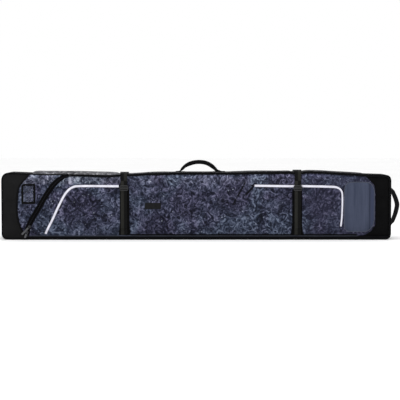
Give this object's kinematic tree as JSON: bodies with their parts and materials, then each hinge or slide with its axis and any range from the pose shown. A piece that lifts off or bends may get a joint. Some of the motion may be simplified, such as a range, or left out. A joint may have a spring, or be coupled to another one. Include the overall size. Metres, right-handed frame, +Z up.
{
  "type": "ski bag",
  "caption": "Long padded travel bag for skis with a zipped fold-down front, compression straps with side-release buckles, carry and end handles, and wheels at one corner.",
  "frame": {"origin": "middle of the bottom rest face, with the bag standing on its long lower edge, carry handle up", "axes": "+X along the bag to the end with the end handle, -Y out of the zipped front, +Z up"},
  "size_m": [1.937, 0.2149, 0.3848],
  "materials": {
    "printed_fabric": "matte",
    "printed_gusset": "matte",
    "black_fabric": "matte",
    "charcoal_fabric": "matte",
    "slate_fabric": "matte",
    "webbing": "matte",
    "handle_webbing": "matte",
    "piping": "satin",
    "zip_tape": "matte",
    "reflective_tape": "satin",
    "rubber_tab": "matte",
    "clear_film": "gloss",
    "buckle_plastic": "satin",
    "housing_plastic": "matte",
    "hub_plastic": "satin",
    "wheel_tyre": "matte",
    "axle_steel": "satin",
    "slider_metal": "satin",
    "pull_tab": "matte"
  },
  "bodies": {
    "bag_body": {"back_panel": "printed_fabric", "back_piping": "piping", "top_gusset": "printed_gusset", "bottom_gusset": "black_fabric", "left_end_wall": "charcoal_fabric", "right_end_wall": "black_fabric", "front_piping": "piping", "left_end_cap": "charcoal_fabric", "front_left_panel": "printed_fabric", "front_gore": "printed_fabric", "bottom_rim": "black_fabric", "cap_piping": "piping", "zip_tape_body": "zip_tape", "label_window_binding": "piping", "label_window": "clear_film", "back_strap_left": "webbing", "back_strap_right": "webbing", "buckle_female_left": "buckle_plastic", "buckle_female_right": "buckle_plastic", "carry_anchor_left": "webbing", "carry_anchor_right": "webbing", "end_anchor_upper": "webbing", "end_anchor_lower": "webbing", "wheel_housing": "housing_plastic", "wheel_axle_lower": "axle_steel", "wheel_axle_upper": "axle_steel", "tie_down_strap_left": "webbing", "tie_down_strap_right": "webbing", "tie_down_buckle_left": "buckle_plastic", "tie_down_buckle_right": "buckle_plastic"},
    "lid": {"lid_panel": "printed_fabric", "lid_end_panel": "black_fabric", "zip_tape_lid": "zip_tape", "side_patch": "slate_fabric", "reflective_line_left": "reflective_tape", "reflective_line_right": "reflective_tape", "rubber_patch": "rubber_tab", "front_strap_left": "webbing", "front_strap_right": "webbing", "strap_tail_left": "webbing", "strap_tail_right": "webbing", "strap_anchor_left": "black_fabric", "strap_anchor_right": "black_fabric"},
    "strap_end_left": {"buckle_male_left": "buckle_plastic", "strap_over_edge_left": "webbing"},
    "strap_end_right": {"buckle_male_right": "buckle_plastic", "strap_over_edge_right": "webbing"},
    "adjuster_left": {"strap_adjuster_left": "buckle_plastic"},
    "adjuster_right": {"strap_adjuster_right": "buckle_plastic"},
    "slider_upper": {"zip_slider_upper": "slider_metal"},
    "pull_upper": {"zip_pull_upper": "pull_tab"},
    "slider_lower": {"zip_slider_lower": "slider_metal"},
    "pull_lower": {"zip_pull_lower": "pull_tab"},
    "carry_handle": {"carry_handle": "handle_webbing"},
    "end_handle": {"end_handle": "handle_webbing"},
    "wheel_lower": {"wheel_tyre_lower": "wheel_tyre", "wheel_hub_lower": "hub_plastic"},
    "wheel_upper": {"wheel_tyre_upper": "wheel_tyre", "wheel_hub_upper": "hub_plastic"}
  },
  "joints": [
    {"name": "lid_hinge", "type": "hinge", "parent": "bag_body", "child": "lid", "pos_m": [0, -0.09, 0.019], "axis": [1, 0, 0], "range_deg": [0, 90]},
    {"name": "buckle_left_unclip", "type": "slide", "parent": "lid", "child": "strap_end_left", "axis": [0, -1, 0], "range_m": [0, 0.032]},
    {"name": "buckle_right_unclip", "type": "slide", "parent": "lid", "child": "strap_end_right", "axis": [0, -1, 0], "range_m": [0, 0.032]},
    {"name": "adjuster_left_slide", "type": "slide", "parent": "lid", "child": "adjuster_left", "axis": [0, 0, -1], "range_m": [0, 0.15]},
    {"name": "adjuster_right_slide", "type": "slide", "parent": "lid", "child": "adjuster_right", "axis": [0, 0, -1], "range_m": [0, 0.15]},
    {"name": "slider_upper_run", "type": "slide", "parent": "lid", "child": "slider_upper", "axis": [0.4505, 0, 0.8928], "range_m": [0, 0.15]},
    {"name": "pull_upper_flip", "type": "hinge", "parent": "slider_upper", "child": "pull_upper", "pos_m": [-0.8085, -0.1023, 0.064], "axis": [-0.7071, 0, 0.7071], "range_deg": [0, 180]},
    {"name": "slider_lower_run", "type": "slide", "parent": "bag_body", "child": "slider_lower", "axis": [-0.1392, 0, -0.9903], "range_m": [0, 0.008]},
    {"name": "pull_lower_flip", "type": "hinge", "parent": "slider_lower", "child": "pull_lower", "pos_m": [-0.821, -0.1008, 0.0365], "axis": [-0.9272, 0, 0.3746], "range_deg": [0, 90]},
    {"name": "carry_handle_swing", "type": "hinge", "parent": "bag_body", "child": "carry_handle", "pos_m": [0.01, 0, 0.334], "axis": [1, 0, 0], "range_deg": [-65, 65]},
    {"name": "end_handle_swing", "type": "hinge", "parent": "bag_body", "child": "end_handle", "pos_m": [0.947, 0, 0.155], "axis": [0, 0, 1], "range_deg": [-11, 81]},
    {"name": "wheel_lower_spin", "type": "hinge", "parent": "bag_body", "child": "wheel_lower", "pos_m": [-0.892, 0.072, 0.072], "axis": [0, 0, 1], "continuous": true},
    {"name": "wheel_upper_spin", "type": "hinge", "parent": "bag_body", "child": "wheel_upper", "pos_m": [-0.892, 0.072, 0.254], "axis": [0, 0, 1], "continuous": true}
  ]
}
